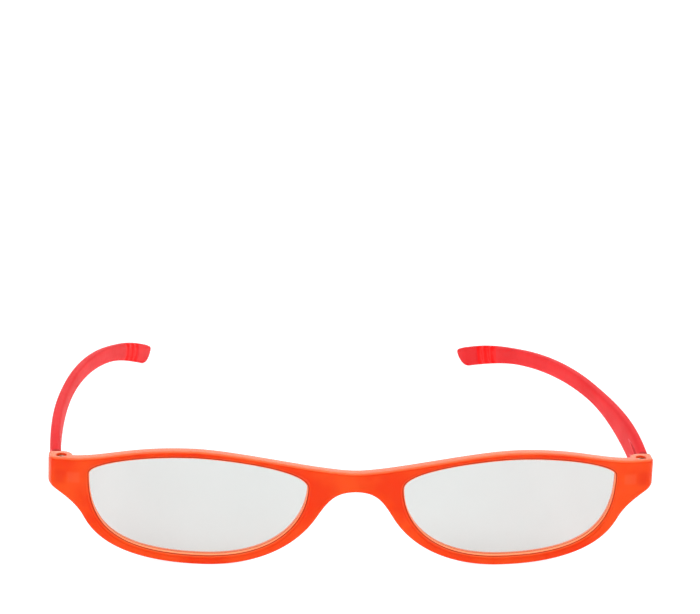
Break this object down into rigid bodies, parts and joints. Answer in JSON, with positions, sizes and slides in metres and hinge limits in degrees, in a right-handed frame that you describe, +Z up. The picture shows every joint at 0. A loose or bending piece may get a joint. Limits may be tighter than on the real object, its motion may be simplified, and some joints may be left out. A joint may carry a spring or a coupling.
{
  "type": "reading glasses",
  "caption": "Slim full-rim plastic reading glasses, standing open, with clear lenses and temples that fold inwards on hinge screws in the end pieces.",
  "frame": {"origin": "on the table, under the middle of the open pair's bounding box", "axes": "+X to the wearer's left, +Y from the lenses back towards the ears, +Z up"},
  "size_m": [0.138, 0.1514, 0.0269],
  "materials": {
    "front_plastic": "glossy translucent orange plastic",
    "temple_plastic": "glossy translucent red plastic",
    "lens_plastic": "clear polished lens",
    "screw_steel": "turned small screw"
  },
  "bodies": {
    "front": {"front_frame": "front_plastic", "lens_left": "lens_plastic", "lens_right": "lens_plastic", "hinge_screw_left": "screw_steel", "hinge_screw_right": "screw_steel"},
    "left_temple": {"temple_left": "temple_plastic"},
    "right_temple": {"temple_right": "temple_plastic"}
  },
  "joints": [
    {"name": "left_temple_fold", "type": "hinge", "parent": "front", "child": "left_temple", "pos_m": [0.06615, -0.06735, 0.01995], "axis": [0, 0, 1], "range_deg": [0, 74]},
    {"name": "right_temple_fold", "type": "hinge", "parent": "front", "child": "right_temple", "pos_m": [-0.06615, -0.06735, 0.01995], "axis": [0, 0, -1], "range_deg": [0, 80]}
  ]
}
